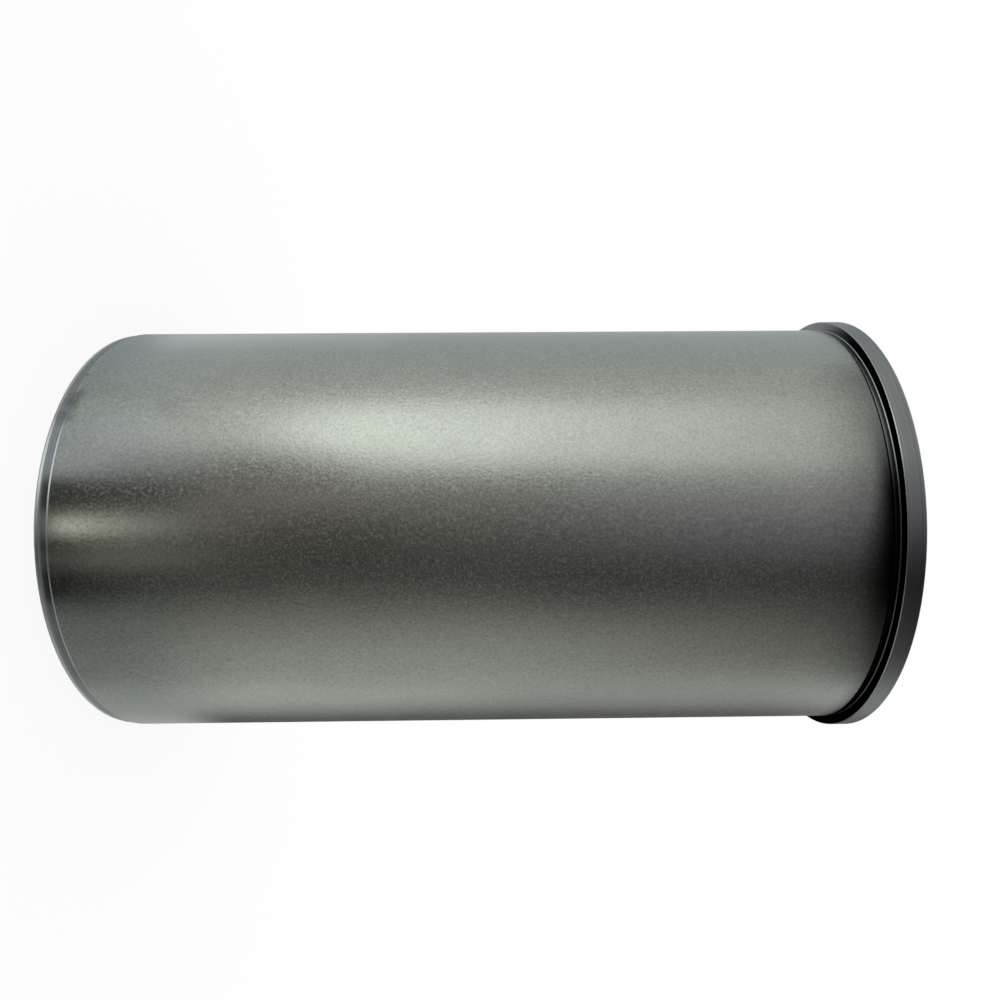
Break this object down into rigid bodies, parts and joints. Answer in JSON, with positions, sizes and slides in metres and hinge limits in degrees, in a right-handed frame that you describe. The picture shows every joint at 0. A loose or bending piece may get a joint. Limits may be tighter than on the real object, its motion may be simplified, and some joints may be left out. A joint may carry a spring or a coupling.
{
  "type": "cylinder liner",
  "caption": "Flanged dry cylinder liner: a thin-walled iron tube with a smooth bore for a piston, a top flange that hangs in the block and a stepped, chamfered lower end.",
  "frame": {"origin": "centre of the plain lower end, on the bore's axis", "axes": "+Z along the bore's axis, from the plain lower end to the flange; +X and +Y are any two directions square to it"},
  "size_m": [0.1186, 0.1186, 0.2],
  "materials": {
    "liner_iron": "satin ground outside, honed bore"
  },
  "bodies": {
    "root": {"cylinder_liner": "liner_iron"}
  },
  "joints": []
}
